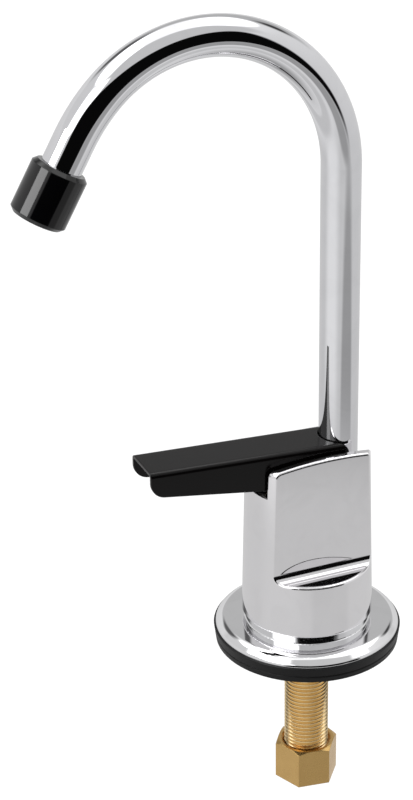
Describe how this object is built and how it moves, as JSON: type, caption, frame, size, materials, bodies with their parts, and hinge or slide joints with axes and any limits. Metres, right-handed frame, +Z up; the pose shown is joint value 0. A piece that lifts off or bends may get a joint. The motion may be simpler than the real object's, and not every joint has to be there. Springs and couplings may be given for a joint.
{
  "type": "drinking water faucet",
  "caption": "Swivelling gooseneck drinking water faucet with a black press lever, a chrome body on a round flange and gasket, and a threaded brass shank with a compression nut.",
  "frame": {"origin": "on the shank's axis, in the plane of the gasket's underside, where the faucet meets the deck", "axes": "+Z up out of the deck, -Y the way the lever points and the gooseneck reaches, +X to the lever's left seen from its user"},
  "size_m": [0.0464, 0.0945, 0.2048],
  "materials": {
    "tube_chrome": "polished",
    "body_chrome": "polished cast and plated",
    "flange_chrome": "polished spun and plated",
    "black_tip": "satin moulded",
    "black_lever": "semi-gloss black over stamped steel",
    "gasket_rubber": "smooth moulded",
    "seal_rubber": "smooth, greased",
    "shank_brass": "bright cut thread",
    "nut_brass": "satin machined",
    "inner_brass": "machined",
    "steel": "drawn",
    "white_plastic": "moulded acetal"
  },
  "bodies": {
    "base": {"faucet_body": "body_chrome", "escutcheon": "flange_chrome", "base_gasket": "gasket_rubber", "threaded_shank": "shank_brass", "shank_o_ring": "seal_rubber", "compression_nut": "nut_brass", "compression_sleeve": "inner_brass", "valve_seat": "inner_brass", "seat_o_ring": "seal_rubber", "stem_gland": "inner_brass", "gland_o_ring": "seal_rubber", "stem_o_ring": "seal_rubber", "spring_washer": "steel", "return_spring": "steel", "spout_bushing": "white_plastic", "spout_set_screw": "steel", "lever_pivot_pin": "steel"},
    "spout": {"spout_tube": "tube_chrome", "spout_tip": "black_tip", "flow_straightener": "white_plastic", "spout_end_fitting": "inner_brass", "spout_o_rings": "seal_rubber"},
    "lever_arm": {"lever": "black_lever", "stem_link_pin": "steel"},
    "stem": {"valve_stem": "inner_brass", "seat_washer": "seal_rubber", "washer_screw": "steel"}
  },
  "joints": [
    {"name": "spout_swivel", "type": "hinge", "parent": "base", "child": "spout", "pos_m": [0, 0.0081, 0.0444], "axis": [0, 0, 1], "continuous": true},
    {"name": "lever_press", "type": "hinge", "parent": "base", "child": "lever_arm", "pos_m": [0, -0.01, 0.0494], "axis": [1, 0, 0], "range_deg": [0, 11], "stiffness_Nm_per_rad": 0.0265, "springref_deg": -75.63},
    {"name": "valve_lift", "type": "slide", "parent": "base", "child": "stem", "axis": [0, 0, 1], "range_m": [0, 0.00125], "deforming": ["return_spring"]}
  ],
  "couplings": [
    {"joint": "valve_lift", "follows": "lever_press", "m_per_rad": 0.0065}
  ]
}
